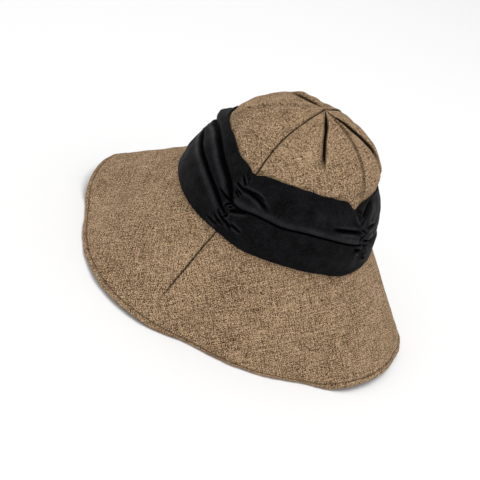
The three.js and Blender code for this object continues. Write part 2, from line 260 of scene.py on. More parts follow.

# The short creases at the two gathers in sight: each bends from one place to another
# through a third, given as a bearing and a height. One of less than no depth is a ridge,
# with a highlight painted along it.
Crease = namedtuple("Crease", "start middle end depth width")
NEAR_CREASES = [
    Crease((-1.5, 53.5), (-0.5, 51.5), (-0.5, 50), 3, 0.9),
    Crease((-5.5, 51.5), (-2.5, 48.5), (0.5, 45.5), 3.6, 0.8),
    Crease((-5.5, 44.5), (-2.5, 43), (2, 42), 3.6, 0.8),
    Crease((-3, 39.5), (-0.5, 39), (2, 38), 2.6, 0.5),
    Crease((-3, 37.5), (-1, 37), (1.5, 35.5), 2.8, 0.5),
    Crease((-7, 33.5), (-3.5, 34), (0, 32), 3.2, 0.6),
    Crease((-5, 31), (-2.5, 30), (0, 31.5), 2.8, 0.6),
    Crease((-2, 41), (9, 43.3), (21, 36.5), 4.4, 1.4),
    Crease((4.5, 44), (10.5, 45.5), (16, 42.5), 2.8, 0.8),
    Crease((-1.5, 21), (-2, 25), (1, 28), 2.8, 0.7),
    Crease((-0.5, 24), (0.5, 25), (2, 26.5), 2.4, 0.6),
    Crease((0.5, 22), (5, 25), (11.5, 29.5), 4.6, 1.2),
    Crease((2, 26.5), (5.5, 27), (10, 29), 3.8, 1),
    Crease((0.5, 19), (1, 16.5), (-1, 15), 3.2, 0.9),
    Crease((-5.5, 18), (-1.5, 14), (2, 12.5), 3.4, 0.8),
    Crease((-1, 13.5), (3, 12.3), (7, 9.5), 4.2, 1.1),
    Crease((-6, 12.5), (-2.5, 10.3), (1, 10.5), 3, 0.8),
    Crease((-9.5, 6.5), (-5, 5.5), (-1, 5), 3.6, 1),
    Crease((-3, 9), (0, 8.5), (2.5, 9.5), 2.4, 0.6),
    Crease((4.5, 13.5), (8.5, 13), (13, 12), 2.2, 1),
    Crease((94, 64), (88.5, 56.5), (83.5, 47.5), 7, 3.6),
    Crease((86.5, 51.5), (83.5, 46), (80.5, 42.5), 4.6, 1.2),
    Crease((77.5, 57), (80, 55.5), (81, 53.5), 2.8, 0.8),
    Crease((82, 42), (85, 38.5), (87.5, 36.5), 3, 0.7),
    Crease((92.5, 37), (87, 35), (82.5, 31.5), 4.2, 0.9),
    Crease((57, 41.5), (73, 40), (85, 36), 5, 1.3),
    Crease((86.5, 30), (89.5, 28.5), (94, 27), 3.2, 0.8),
    Crease((87.5, 24), (91, 25), (95.5, 25.5), 3.2, 0.8),
    Crease((79, 22.5), (82.5, 22), (86, 19.5), 4.2, 1.4),
    Crease((87.5, 16), (90.5, 17.5), (93.5, 18.5), 3.2, 0.9),
    Crease((88.5, 14.5), (91, 12), (93.5, 10), 3.2, 0.9),
    Crease((88, 39), (94.5, 39.3), (101, 38.5), 2.2, 1.6),
    # Ridges, raised a little and with a highlight painted along them.
    Crease((75.5, 57), (79, 48), (86.5, 35.5), -1.4, 1),
    Crease((101, 60), (98.5, 50), (95, 41), -0.4, 4),
    Crease((42, 47), (58, 49), (76, 48), -0.25, 6),
]

# The steps that a crease's line is walked in, the share of it that tapers at each end,
# and how many degrees round it is looked for. Then the rims beside creases and folds:
# the height of those raised beside creases, their place and width, and how strong the
# highlight painted on them is.
STROKE_STEPS = 6
STROKE_TAPER = 0.28
STROKE_REACH = 40
RIM_SHARE = 0.4
RIM_PLACE = 2.1
FOLD_HIGHLIGHT_PLACE = 2.6
FOLD_HIGHLIGHT_WIDTH = 2.2
FOLD_HIGHLIGHT_SHARE = 0.6
CREASE_HIGHLIGHT_SHARE = 0.6

# The creases at the hidden gathers, drawn by chance on both sides of each.
NEAR_GATHERS = GATHERS[:2]
HIDDEN_GATHERS = GATHERS[2:]
CREASES_A_SIDE = 7
CREASE_STARTS = (0, 2)
CREASE_LENGTHS = (4, 10)
CREASE_DEPTHS = (2.4, 4)
CREASE_WIDTHS = (0.8, 1.3)
CREASE_LEVELS = (6, 58)
CREASE_STRAY = 3
CREASE_SLOPE = 0.5
CREASE_BOW = 2
CREASE_SEED = 11

# The least, in millimetres, that a spot counts as away from the point its cut is drawn
# round.
CUT_CLEAR = 1

# The meshes' fineness: steps in degrees round the hat, rows down each cloth, how much
# closer they stand at fine places, and the small steps that they are counted along.
CROWN_STEP = 1
BRIM_STEP = 0.75
BAND_STEP = 1
BAND_FINE_STEP = 0.2
BAND_FINE_REACH = 6
FINE_STEP = 0.25
FINE_REACH = 3
CROWN_ROWS = 140
CROWN_ROWS_POWER = 1.15
BRIM_ROWS = 66
BAND_ROWS = 125
HEM_CLOSENESS = 3
FOLD_CLOSENESS = 3
FOLD_FINE_WIDTH = 2
CROWN_INSIDE_STEP = 2
BAND_INSIDE_STEP = 5
EDGE_POINTS = 6
PROFILE_STEPS = 20
ROUND_WALK = 20000
BRIM_WALK = 2000
BAND_WALK = 500
STITCH_WALK = 7200
SHARP_ANGLE = 85

# What the meshes hand to the materials: a map of the flat cloth, and the shade painted on
# each point, up to 1 in folds, seams and the hem's groove, and below 0 the highlight
# painted on a ridge.
CLOTH_MAP = "Cloth"
PAINTED_SHADING = "Painted shading"

# Colours, as the linear values that shaders take.
LINEN_DARK = (0.03, 0.013, 0.003, 1)
LINEN_MID = (0.22, 0.131, 0.067, 1)
LINEN_LIGHT = (0.78, 0.555, 0.35, 1)
# The shade painted on the linen in its folds, seams and the hem's groove.
LINEN_PAINTED_SHADE = (0.003, 0.0015, 0.0008, 1)
BAND_BLACK = (0.0006, 0.0006, 0.0007, 1)
BAND_GREY = (0.0125, 0.0125, 0.0145, 1)
# The highlight painted on the band's ridges.
BAND_PAINTED_HIGHLIGHT = (0.042, 0.042, 0.047, 1)
# The shade painted in the band's folds.
BAND_PAINTED_SHADE = (0.0002, 0.0002, 0.0003, 1)
THREAD_BROWN = (0.2, 0.125, 0.068, 1)
BAND_LINT = (0.03, 0.03, 0.03, 1)
FLOOR_WHITE = (0.95, 0.95, 0.95, 1)
WHITE = (1, 1, 1, 1)

# The two weaves. The pitch of the threads is in metres, the rest in pitches.
LINEN_WEAVE = dict(thread_pitch=0.62 * MM, slub_length=1.3, looseness=0.14)
BAND_WEAVE = dict(thread_pitch=0.5 * MM, slub_length=3, looseness=0.15)

# The noises that the cloths are made of, with how often they change: on threads and
# streaks in a pitch, elsewhere in a metre.
Grain = namedtuple("Grain", "scale detail roughness")
THREAD_GRAIN = Grain(1, 3, 0.62)
STRAY_GRAIN = Grain(0.22, 2, 0.5)
STREAK_GRAIN = Grain(1, 2, 0.6)
FUZZ_GRAIN = Grain(2600, 4, 0.7)
SPECK_GRAIN = Grain(2500, 2, 0.6)
CLOUD_GRAIN = Grain(14, 4, 0.55)
MOTTLE_GRAIN = Grain(60, 7, 0.82)
SEWING_GRAIN = Grain(900, 2, 0.5)

# The threads: each one's step in tone from the last and the seed of its way, how sharply
# one passes over another, its height, how far it strays, and the streaks both ways.
TONE_STEP = 0.731
TONE_START = 0.37
WARP_SEED = 3.1
WEFT_SEED = 9.7
OVER_SHARPNESS = 2.5
THREAD_LOW = 0.4
THREAD_SWELL = 0.8
STRAY_REACH = 4
STREAKS = ((0.8, 0.03, 1), (0.026, 0.7, 1))

# The stray fibres both ways, and how softly they stand out.
FIBRES = ((900, 90, 1), (80, 820, 1))
FIBRE_EDGE = 0.08
FIBRE_SHARE = 0.5

# The linen's tone is a level with the patterns' shares added. It runs from dark to mid
# and from mid to light. Pits, where the weave is low, get painted shade.
LINEN_FIBRES = 0.66
LINEN_LEVEL = -2.91
LINEN_SHARES = dict(threads=4.6, specks=1.8, clouds=0.4, streaks=0.95)
LINEN_MID_TONES = (0.1, 0.5)
LINEN_LIGHT_TONES = (0.5, 0.9)
LINEN_PITS = (0.32, 0)
LINEN_PIT_SHARE = 0.5
# How fully the shade painted in folds, seams and the hem's groove shows.
LINEN_PAINTED_SHADE_SHARE = 0.97
LINEN_FUZZ = 0.3
LINEN_BUMP = dict(strength=0.55, distance=0.5 * MM)
SEWING_TONES = (0.3, 0.7)

# The band's tone, the shade painted in its folds and the highlight painted on its ridges,
# and how rough its folds and ridges are.
BAND_FIBRES = 0.7
BAND_THREADS = 1.2
BAND_TONES = (0.96, 1.36)
BAND_FUZZ = 0.5
BAND_BUMP = dict(strength=0.3, distance=0.2 * MM)
PAINTED_HIGHLIGHT_TONES = (0.7, 1.4)
PAINTED_HIGHLIGHT_RANGE = (0, -1)
PAINTED_SHADE_RANGE = (0, 0.9)
ROUGH_DEPTHS = (-2.4, 1.4)

# The sockets of a mix node that take the share and the two values, and give the result.
NUMBER_MIX = ("FLOAT", (0, 2, 3), 0)
COLOUR_MIX = ("RGBA", (0, 6, 7), 2)
NOISE_MIDDLE = (0.5, 0.5, 0.5)

# The camera stands where the photograph was taken from, as seen from the hat.
CAMERA_ELEVATION = 29.3
CAMERA_BEARING = 23.2
CAMERA_ROLL = 26.1
CAMERA_DISTANCE = 1300
CAMERA_LENS = 105.6
CAMERA_SENSOR = 36
AIM_RIGHT = -32.5
AIM_UP = -31.3

# The studio: its floor, its soft lamps as the camera sees them, in metres from the hat,
# and the light of the room.
FLOOR_SIZE = 8
Softbox = namedtuple("Softbox", "name right up back size watts")
SOFTBOXES = [
    Softbox("key", 1, 1.15, 0.9, 1.1, 14),
    Softbox("fill", -1.2, 0.5, 1.1, 1.3, 3.5),
]
ROOM_LIGHT = 0.72


def smoothstep(value, low, high):
    share = np.clip((value - low) / (high - low), 0, 1)
    return share * share * (3 - 2 * share)


def hollow(distance, half_width):
    return np.exp(-((distance / half_width) ** 2))


def turn_between(start, end):
    """The signed turn from one bearing to another, from -180 to 180 degrees."""
    return np.mod(end - start + HALF_TURN, FULL_TURN) - HALF_TURN


def catmull_rom(a, b, c, d, share):
    """A smooth value through four neighbouring values, share of the way from b to c."""
    slope_b = (c - a) / 2
    slope_c = (d - b) / 2
    square = share * share
    cube = square * share
    return (
        b * (2 * cube - 3 * square + 1)
        + slope_b * (cube - 2 * square + share)
        + c * (3 * square - 2 * cube)
        + slope_c * (cube - square)
    )


def smooth_through(values, place):
    """A smooth value at a place counted along a short list of values."""
    last = len(values) - 1
    row = np.clip(np.floor(place).astype(int), 0, last - 1)
    padded = np.concatenate([[2 * values[0] - values[1]], values, [values[-1]]])
    corners = [padded[row + step] for step in range(4)]
    return catmull_rom(*corners, place - row)


def around(column, bearing):
    """One column of the table round the hat, at any bearing."""
    values = np.array([getattr(row, column) for row in ROUND], float)
    place = np.mod(bearing, FULL_TURN) / (ROUND[1].bearing - ROUND[0].bearing)
    row = np.floor(place).astype(int)
    corners = [values[(row + step) % len(ROUND)] for step in (-1, 0, 1, 2)]
    return catmull_rom(*corners, place - row)


def mean_of(column):
    return np.mean([getattr(row, column) for row in ROUND])


def walk_profile():
    """The crown's profile in small steps, with the distance down the cloth to each."""
    rows = len(CROWN_PROFILE) - 1
    place = np.linspace(0, rows, PROFILE_STEPS * rows + 1)
    radius = smooth_through([ring.radius for ring in CROWN_PROFILE], place)
    height = smooth_through([ring.height for ring in CROWN_PROFILE], place)
    steps = np.hypot(np.diff(radius), np.diff(height))
    return np.concatenate([[0], np.cumsum(steps)]), radius, height


PROFILE_DOWN, PROFILE_RADIUS, PROFILE_HEIGHT = walk_profile()
PROFILE_OUTWARD = -np.gradient(PROFILE_HEIGHT, PROFILE_DOWN)
PROFILE_UPWARD = np.gradient(PROFILE_RADIUS, PROFILE_DOWN)
SEAM_DOWN = PROFILE_DOWN[-1]


def on_profile(down):
    """The crown's radius and height at a distance down the cloth from the top, and how far
    a step straight out of the cloth goes outward and upward."""
    columns = (PROFILE_RADIUS, PROFILE_HEIGHT, PROFILE_OUTWARD, PROFILE_UPWARD)
    return [np.interp(down, PROFILE_DOWN, column) for column in columns]


def down_at(height):
    return np.interp(height, PROFILE_HEIGHT[::-1], PROFILE_DOWN[::-1])


def oval_point(bearing, radius, outward, height):
    """A point of the oval at a mean radius, moved out of it in plan and set at a height."""
    angle = np.radians(bearing)
    across = 2 / (1 + HEAD_RATIO)
    along = across * HEAD_RATIO
    normal_x = np.cos(angle) / across
    normal_y = np.sin(angle) / along
    length = np.hypot(normal_x, normal_y)
    lean = CROWN_LEAN * smoothstep(height, LEAN_START, LEAN_FULL)
    x = across * radius * np.cos(angle) + outward * normal_x / length
    y = along * radius * np.sin(angle) + outward * normal_y / length + lean
    return np.stack(np.broadcast_arrays(x, y, height), axis=-1)


def unevenness(waves, bearing, down):
    """Soft waves in the cloth that meet after a whole turn, mostly within their height."""
    draw = np.random.default_rng(waves.seed)
    total = 0
    for _ in range(WAVES_TOGETHER):
        length = draw.uniform(waves.shortest, waves.longest)
        lean = draw.uniform(0, np.pi)
        phase = draw.uniform(0, 2 * np.pi)
        turns = np.round(2 * np.pi * SEAM_RADIUS * np.cos(lean) / length)
        climb = 2 * np.pi * np.sin(lean) / length
        total = total + np.sin(turns * np.radians(bearing) + climb * down + phase)
    return waves.height * (total / np.sqrt(WAVES_TOGETHER))


def seam_relief(across):
    """The cloth turned in at a side seam, with the seam allowance's ridge beside it."""
    groove = SEAM_DEPTH * np.exp(-np.abs(across) / SEAM_ROLL)
    ridge = SEAM_RIDGE * hollow(np.abs(across) - SEAM_RIDGE_PLACE, SEAM_RIDGE_WIDTH)
    return ridge - groove


def nearest_seam(bearing):
    return np.mod(bearing + HALF_TURN / 2, HALF_TURN) - HALF_TURN / 2


def lapping(beside, crisp, lap):
    """How far the cloth at a distance beside a valley moves over it, on its crisp side."""
    risen = smoothstep(beside, 0, crisp * LAP_RISE)
    settled = hollow(np.maximum(beside - crisp, 0), LAP_SETTLES * lap + crisp)
    return lap * risen * settled


def pleat_bearing(pleat, down):
    turned = smoothstep(down, 0, pleat.settle)
    return pleat.top + turn_between(pleat.top, pleat.low) * turned


def follow_pleats(column, down):
    """The bearing, at a distance down, of the cloth that has a given bearing at the band.
    It turns with the pleats between the side seams, which stay where they are."""
    knots = [(pleat.low, pleat_bearing(pleat, down) - pleat.low) for pleat in CROWN_PLEATS]
    knots = knots + [(HALF_TURN, 0 * down), (FULL_TURN, 0 * down)]
    knots.sort(key=lambda knot: knot[0])
    bearing = column + 0 * down
    for (low, turn), (next_low, next_turn) in zip(knots, knots[1:]):
        within = (column >= low) & (column < next_low)
        share = np.clip((column - low) / (next_low - low), 0, 1)
        bearing = bearing + within * (turn + (next_turn - turn) * share)
    return bearing


def swell_between_pleats(bearing, down):
    """How far the cloth swells between the pleats on either side of a bearing."""
    total = 0
    for pleat, following in zip(CROWN_PLEATS, CROWN_PLEATS[1:] + CROWN_PLEATS[:1]):
        start = pleat_bearing(pleat, down)
        span = np.mod(pleat_bearing(following, down) - start, FULL_TURN)
        along = np.mod(bearing - start, FULL_TURN)
        within = along < span
        bow = np.sin(np.pi * np.clip(along / span, 0, 1))
        sharpness = 1 + smoothstep(down, pleat.reach / 2, pleat.reach)
        total = total + within * pleat.puff * bow**sharpness
    return total


def pressed(share):
    """How fully the band presses on the crown, at a share of the band's height."""
    return smoothstep(share, 0, PRESS_SHARE) * smoothstep(1 - share, 0, PRESS_SHARE)


def waist_relief(bearing, height):
    """How far the band's upper edge presses in the crown, and the crown swells above it."""
    above = height - band_top_height(bearing)
    waist = around("waist", bearing) * hollow(above, WAIST_WIDTH)
    return around("shoulder", bearing) * hollow(above - SHOULDER_PLACE, SHOULDER_WIDTH) - waist


def pleat_shade(pleat, beside, down):
    """How dark the shade painted in a pleat's valley is at a distance beside it, which is less
    than 0 on its soft side.
    """
    gone = smoothstep(down, pleat.dark_end - DARK_FADES, pleat.dark_end)
    dark = pleat.dark * hollow(np.minimum(beside, 0), pleat.soft_dark * (1 + DARK_WIDENS * gone))
    dark = dark * (1 - smoothstep(beside / pleat.crisp_dark, *WALL_SHADE))
    begun = smoothstep(down, pleat.start, pleat.start + DARK_BEGINS)
    return begun * (1 - gone * gone) * dark


def pleat_shape(pleat, bearing, down, radius, spread):
    """One pleat: how far it makes the cloth stand out, how far it moves it round, and how
    dark the shade painted in it is. spread widens its valley."""
    side = 1 if pleat.after < pleat.before else -1
    crisp = min(pleat.before, pleat.after)
    soft = max(pleat.before, pleat.after)
    beside = side * radius * np.radians(turn_between(pleat_bearing(pleat, down), bearing))
    narrow = np.clip(radius / PLEAT_FULL_RADIUS, PLEAT_NARROWEST, 1)
    fade = smoothstep(down, pleat.reach - PLEAT_FADE, pleat.reach)
    half_width = np.where(beside > 0, crisp, soft) * (1 + fade) * narrow + spread
    strength = smoothstep(down, pleat.start, pleat.start + PLEAT_BEGINS) * (1 - fade)
    sunk = strength * pleat.depth * narrow * hollow(beside, half_width)
    wide = crisp + pleat.spread * smoothstep(down, 0, SPREAD_FULL)
    risen = pleat.rise * smoothstep(beside, 0, crisp * LAP_RISE)
    risen = risen * hollow(np.maximum(beside - crisp, 0), wide)
    lifted = smoothstep(down, pleat.start, pleat.start + RISE_BEGINS) * (1 - fade)
    moved = -side * strength * lapping(beside, crisp, pleat.lap)
    return lifted * risen - sunk, moved, pleat_shade(pleat, beside / narrow, down)


def crown_shape(bearing, down, radius, height, spread):
    """How far the crown stands out of its plain profile, how far its cloth moves round,
    and how much shade is painted on it in its folds and seams. spread widens the valleys."""
    top = band_top_height(bearing)
    bottom = band_bottom_height(bearing)
    free = smoothstep(height - top, *BAND_HOLD)
    relief = swell_between_pleats(bearing, down) * smoothstep(down, 0, SWELL_FULL)
    uneven = unevenness(CROWN_WAVES, bearing, down) * smoothstep(down, *CROWN_WAVES_BEGIN)
    relief = relief + uneven + TOP_RAISED * hollow(down, TOP_RAISED_WIDTH)
    moved = 0
    shade = 0
    for pleat in CROWN_PLEATS:
        out, round_it, dark = pleat_shape(pleat, bearing, down, radius, spread)
        relief = relief + out
        moved = moved + round_it
        shade = np.maximum(shade, dark)
    beside_seam = radius * np.radians(nearest_seam(bearing))
    seam_side = np.where(np.abs(turn_between(0, bearing)) < HALF_TURN / 2, -1, 1)
    moved = moved * free - seam_side * lapping(seam_side * beside_seam, SEAM_ROLL, SEAM_LAP)
    # Painted shade in the seam.
    shade = np.maximum(shade * free, hollow(beside_seam, SEAM_SHADE_WIDTH))
    press = BAND_PRESS * pressed((height - bottom) / (top - bottom))
    relief = relief * free - press + waist_relief(bearing, height) + seam_relief(beside_seam)
    return relief, moved, shade


def crown_point(column, down, depth):
    """A point of the crown on a column of its cloth, at a distance down from the top and a
    depth of 0 on its outer face to 1 on its inner face, and the shade painted on it."""
    bearing = follow_pleats(column, down)
    radius, height, outward, upward = on_profile(down)
    relief, moved, shade = crown_shape(bearing, down, radius, height, depth * CROWN_WALL)
    out = relief - depth * CROWN_WALL
    turn = np.degrees(moved * (1 - depth) / np.maximum(radius, LAP_CLEAR))
    point = oval_point(bearing + turn, radius, out * outward, height + out * upward)
    return point, shade * (1 - depth)


def hem_relief(from_edge, bearing):
    """The turned hem's extra thickness, its line of stitches and the puckers they pull."""
    turned = HEM_THICKNESS * (1 - smoothstep(from_edge - HEM_WIDTH, -HEM_STEP, HEM_STEP))
    groove = HEM_GROOVE * hollow(from_edge - HEM_WIDTH, HEM_GROOVE_WIDTH)
    wave = np.sin(np.radians(bearing) * PUCKERS_ROUND + unevenness(PUCKER_DRIFT, bearing, 0))
    pucker = PUCKER_HEIGHT * wave * hollow(from_edge - HEM_WIDTH / 2, HEM_WIDTH)
    return turned - groove + pucker


def brim_point(bearing, share, depth):
    """A point of the brim at a share of its width from the seam, and a depth of 0 on its
    upper face to 1 on its lower face, and the shade painted on it at the seam and the hem's
    groove. What would reach below the floor is pressed flat on it, a whole wall thick."""
    droop = np.radians(around("droop", bearing))
    width = around("width", bearing)
    far = share * width
    lift = unevenness(BRIM_WAVES, bearing, far) + unevenness(BRIM_RUMPLES, bearing, far)
    lift = lift * smoothstep(share, *BRIM_WAVES_BEGIN)
    beside_seam = (SEAM_RADIUS + far * np.cos(droop)) * np.radians(nearest_seam(bearing))
    seam_fade = 1 - smoothstep(share, *BRIM_SEAM_FADES)
    seam = BRIM_SEAM_SHARE * seam_relief(beside_seam) * seam_fade
    surface = (hem_relief(width - far, bearing) + seam) * (1 - 2 * depth)
    out = lift + surface - depth * BRIM_WALL
    outward = far * np.cos(droop) + out * np.sin(droop)
    height = SEAM_HEIGHT - GAP - far * np.sin(droop) + out * np.cos(droop)
    lowest = FLOOR + (1 - depth) * BRIM_WALL
    point = oval_point(bearing, SEAM_RADIUS, outward, np.maximum(height, lowest))
    # Painted shade along the seam and in the hem's groove.
    seam_dark = seam_fade * hollow(beside_seam, BRIM_SEAM_SHADE_WIDTH)
    hem_dark = HEM_SHADE * hollow(width - far - HEM_WIDTH, HEM_GROOVE_WIDTH)
    return point, np.maximum(seam_dark, hem_dark)


def gather_bearing(gather, share):
    return gather.bottom + turn_between(gather.bottom, gather.top) * share


def gather_distance(gather, bearing, share):
    return SEAM_RADIUS * np.radians(turn_between(gather_bearing(gather, share), bearing))


def band_top_height(bearing):
    height = around("band_top", bearing) + unevenness(BAND_EDGE_WAVES, bearing, 0)
    for gather in GATHERS:
        across = SEAM_RADIUS * np.radians(turn_between(gather.top, bearing))
        height = height - gather.notch * hollow(across, GATHER_HALF_WIDTH)
    return height


def band_bottom_height(bearing):
    droop = np.radians(around("droop", bearing))
    return SEAM_HEIGHT - around("flare", bearing) * np.tan(droop) + EDGE_LIFT


def fold_place(fold, bearing, height):
    """How far above a fold's valley a height is, how fully the fold is there, and how
    wide it is."""
    span = fold.end - fold.start
    along = np.mod(bearing - fold.start, FULL_TURN)
    inside = along < span
    place = np.clip(along / span, 0, 1) * (len(fold.heights) - 1)
    above = height - smooth_through(fold.heights, place)
    from_end = np.minimum(along, span - along)
    wide = FOLD_NARROW + (1 - FOLD_NARROW) * smoothstep(from_end, 0, FOLD_TAPER)
    return above, smoothstep(from_end, 0, FOLD_END) * inside, wide


def fold_shape(fold, bearing, height, spread):
    """One long fold: a valley, the cloth above it rolled out, the lap over it, the shade
    painted in it, and the highlight painted on the ridge beside it."""
    above, ends, wide = fold_place(fold, bearing, height)
    side = 1 if fold.above < fold.below else -1
    beside = side * above
    crisp = min(fold.above, fold.below)
    soft = max(fold.above, fold.below) * wide
    half_width = np.where(beside > 0, crisp, soft) + spread
    share = np.mod(bearing - fold.start, FULL_TURN) / (fold.end - fold.start)
    roll = fold.rolls[0] + (fold.rolls[1] - fold.rolls[0]) * np.clip(share, 0, 1)
    roll = roll * hollow(above - fold.place, fold.place * ROLL_SHARE)
    relief = roll - fold.depth * hollow(beside, half_width)
    # Painted shade beside the valley, and a painted highlight on the ridge beside it.
    shade = hollow(beside + soft * FOLD_SHADE_PLACE, (crisp + soft) / FOLD_SHADE_SHARE)
    rim = FOLD_HIGHLIGHT_SHARE * hollow(beside - crisp - FOLD_HIGHLIGHT_PLACE, FOLD_HIGHLIGHT_WIDTH)
    return ends * relief, side * ends * lapping(beside, crisp, fold.lap), ends * shade, ends * rim


def draw_creases():
    """The creases at the hidden gathers."""
    draw = np.random.default_rng(CREASE_SEED)
    creases = []
    for gather in HIDDEN_GATHERS:
        for height in np.linspace(*CREASE_LEVELS, CREASES_A_SIDE):
            for side in (-1, 1):
                start = gather.bottom - side * draw.uniform(*CREASE_STARTS)
                length = draw.uniform(*CREASE_LENGTHS)
                level = height + draw.uniform(-CREASE_STRAY, CREASE_STRAY)
                climb = draw.uniform(-CREASE_SLOPE, CREASE_SLOPE) * length
                bow = draw.uniform(-CREASE_BOW, CREASE_BOW)
                middle = (start + side * length / 2, level + climb / 2 + bow)
                end = (start + side * length, level + climb)
                depth = draw.uniform(*CREASE_DEPTHS)
                width = draw.uniform(*CREASE_WIDTHS)
                creases.append(Crease((start, level), middle, end, depth, width))
    return creases


CREASES = NEAR_CREASES + draw_creases()


def bend_through(start, middle, end, share):
    """A bent line through three values."""
    first = start * (1 - share) * (1 - 2 * share)
    return first + middle * 4 * share * (1 - share) + end * share * (2 * share - 1)


def stroke_distance(crease, bearing, height):
    """How far spots on the band are from a crease's line, and how far along it they lie."""
    across = SEAM_RADIUS * np.radians(turn_between(crease.start[0], bearing))
    share = np.linspace(0, 1, STROKE_STEPS + 1)
    turns = bend_through(crease.start[0], crease.middle[0], crease.end[0], share) - crease.start[0]
    x = SEAM_RADIUS * np.radians(turns)
    y = bend_through(crease.start[1], crease.middle[1], crease.end[1], share)
    nearest = np.full(across.shape, np.inf)
    place = np.zeros(across.shape)
    for step in range(STROKE_STEPS):
        run = x[step + 1] - x[step]
        climb = y[step + 1] - y[step]
        along = (across - x[step]) * run + (height - y[step]) * climb
        along = np.clip(along / (run * run + climb * climb), 0, 1)
        gap = np.hypot(across - x[step] - along * run, height - y[step] - along * climb)
        place = np.where(gap < nearest, (step + along) / STROKE_STEPS, place)
        nearest = np.minimum(gap, nearest)
    return nearest, place


def add_crease(crease, bearing, height, spread, relief, shade, ridge):
    """Presses one crease into the band's relief, where the band is near enough to it. A
    crease gets shade painted along it and a highlight painted on its rims; a ridge gets a
    highlight painted along it.
    """
    close = np.abs(turn_between(crease.start[0], bearing)) < STROKE_REACH
    nearest, place = stroke_distance(crease, bearing[close], height[close])
    taper = smoothstep(np.minimum(place, 1 - place), 0, STROKE_TAPER)
    width = crease.width + spread[close]
    rim = hollow(nearest - RIM_PLACE * crease.width, crease.width)
    relief[close] += crease.depth * taper * (RIM_SHARE * rim - hollow(nearest, width))
    # Painted shade along a crease and painted highlight on its rims.
    if crease.depth > 0:
        shade[close] = np.maximum(shade[close], taper * hollow(nearest, crease.width))
        ridge[close] = np.maximum(ridge[close], CREASE_HIGHLIGHT_SHARE * taper * rim)
    else:
        # Painted highlight along a ridge.
        pale = min(-crease.depth, 1)
        ridge[close] = np.maximum(ridge[close], pale * taper * hollow(nearest, crease.width))


def smooth_floor(value, softness):
    """The value kept above zero, with a soft turn."""
    return (value + np.sqrt(value * value + softness * softness)) / 2


def band_shape(bearing, share, height, spread):
    """How far the band stands out of the crown, how far its folds lap down, and the shade
    painted in its folds, where less than nothing is a highlight painted on a ridge."""
    full = np.sin(np.pi * np.clip(FLARE_SHARE + (1 - FLARE_SHARE) * share, 0, 1))
    shaded = np.minimum(full * EDGE_SHADE, 1)
    relief = around("swell", bearing) * full**SWELL_ROUNDNESS
    relief = relief + full * unevenness(BAND_WAVES, bearing, height)
    lapped = 0
    shade = np.zeros(height.shape)
    ridge = np.zeros(height.shape)
    for gather in GATHERS:
        away = gather_distance(gather, bearing, share)
        relief = relief * (1 - GATHER_PULL * hollow(away, GATHER_HALF_WIDTH))
        relief = relief - gather.line * full * hollow(away, GATHER_LINE_WIDTH + spread)
    folded = np.zeros(height.shape)
    for fold in BAND_FOLDS:
        fold_relief, fold_lap, fold_shade, rim = fold_shape(fold, bearing, height, spread)
        folded = folded + fold_relief
        lapped = lapped + full * fold_lap
        shade = np.maximum(shade, fold_shade)
        ridge = np.maximum(ridge, rim)
    columns = np.broadcast_to(bearing, height.shape)
    for crease in CREASES:
        wider = np.broadcast_to(spread, height.shape)
        add_crease(crease, columns, height, wider, folded, shade, ridge)
    relief = relief + full**SWELL_ROUNDNESS * folded
    lowest = -BAND_PRESS * pressed(share)
    # Painted shade in the folds, and painted highlight on the ridges outside them.
    painted_shading = shaded * (shade - (1 - shade) * ridge)
    return lowest + smooth_floor(relief - lowest, PRESS_SOFTNESS), lapped, painted_shading


def band_point(bearing, share, depth):
    """A point of the band at a share of its height, and a depth of 0 on its outer face
    to 1 on its inner face, and the shade and highlight painted on it."""
    bottom = band_bottom_height(bearing)
    height = bottom + share * (band_top_height(bearing) - bottom)
    radius, _, outward, upward = on_profile(down_at(np.maximum(height, SEAM_HEIGHT)))
    flare = around("flare", bearing) * (1 - smoothstep(share, 0, FLARE_SHARE))
    relief, lapped, shade = band_shape(bearing, share, height, depth * BAND_WALL)
    relief = np.where(share < FLARE_SHARE, np.maximum(relief, flare), relief)
    out = GAP + BAND_WALL * (1 - depth) + relief + waist_relief(bearing, height)
    risen = height + out * upward - lapped * (1 - depth)
    return oval_point(bearing, radius, out * outward, risen), shade * (1 - depth)


def stations(start, end, step, fine_places, fine_step, fine_reach):
    """Bearings from start to end, an even step apart but closer at the fine places."""
    walk = np.linspace(start, end, ROUND_WALK + 1)
    density = np.full(walk.shape, 1 / step)
    for place in fine_places:
        near = hollow(turn_between(place, walk), fine_reach)
        density = np.maximum(density, near / fine_step)
    count = np.concatenate([[0], np.cumsum((density[1:] + density[:-1]) / 2)])
    total = count[-1] * (walk[1] - walk[0])
    return np.interp(np.linspace(0, count[-1], int(np.ceil(total)) + 1), count, walk)


def section(levels, bulge, both_edges, inside_step):
    """The way round a wall's section, as pairs of a level and a depth: along its outer
    face, round its edge, and back along its inner face, where the points are fewer."""
    turn = np.linspace(0, np.pi, EDGE_POINTS + 2)[1:-1]
    depth_round = (1 - np.cos(turn)) / 2
    count = levels.shape[1]
    back = np.append(np.arange(0, count - 1, inside_step), count - 1)[::-1]
    parts = [(levels, np.zeros(count)), (levels[:, -1:] + bulge * np.sin(turn), depth_round)]
    parts.append((levels[:, back], np.ones(len(back))))
    if both_edges:
        parts.append((levels[:, :1] - bulge * np.sin(turn), 1 - depth_round))
    along = np.concatenate([part[0] for part in parts], axis=1)
    return along, np.concatenate([part[1] for part in parts])


Wall = namedtuple("Wall", "along grid shade faces")


